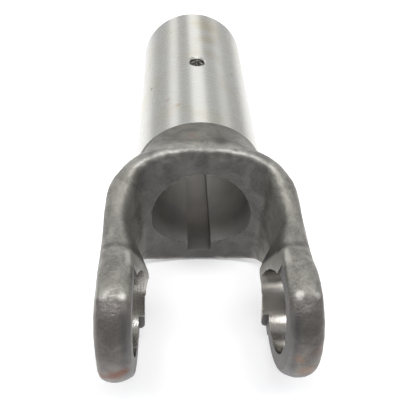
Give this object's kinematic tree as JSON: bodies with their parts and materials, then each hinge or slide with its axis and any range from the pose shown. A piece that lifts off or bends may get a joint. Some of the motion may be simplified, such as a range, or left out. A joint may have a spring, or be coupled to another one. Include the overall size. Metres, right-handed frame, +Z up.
{
  "type": "forged yoke",
  "caption": "One-piece forged fork with round bored ears for a cross joint and a ground barrel with a keyed shaft bore and a set-screw hole.",
  "frame": {"origin": "where the barrel axis crosses the common axis of the two cross bores, midway between the ears", "axes": "+X along the cross bores; +Y along the barrel axis, from the fork towards the shaft end; +Z up as it lies on a table, through the set-screw hole, with the keyway opposite"},
  "size_m": [0.0712, 0.1844, 0.06],
  "materials": {
    "steel": "forged skin on the fork, ground barrel, machined bores and ear flats"
  },
  "bodies": {
    "root": {"yoke": "steel"}
  },
  "joints": []
}
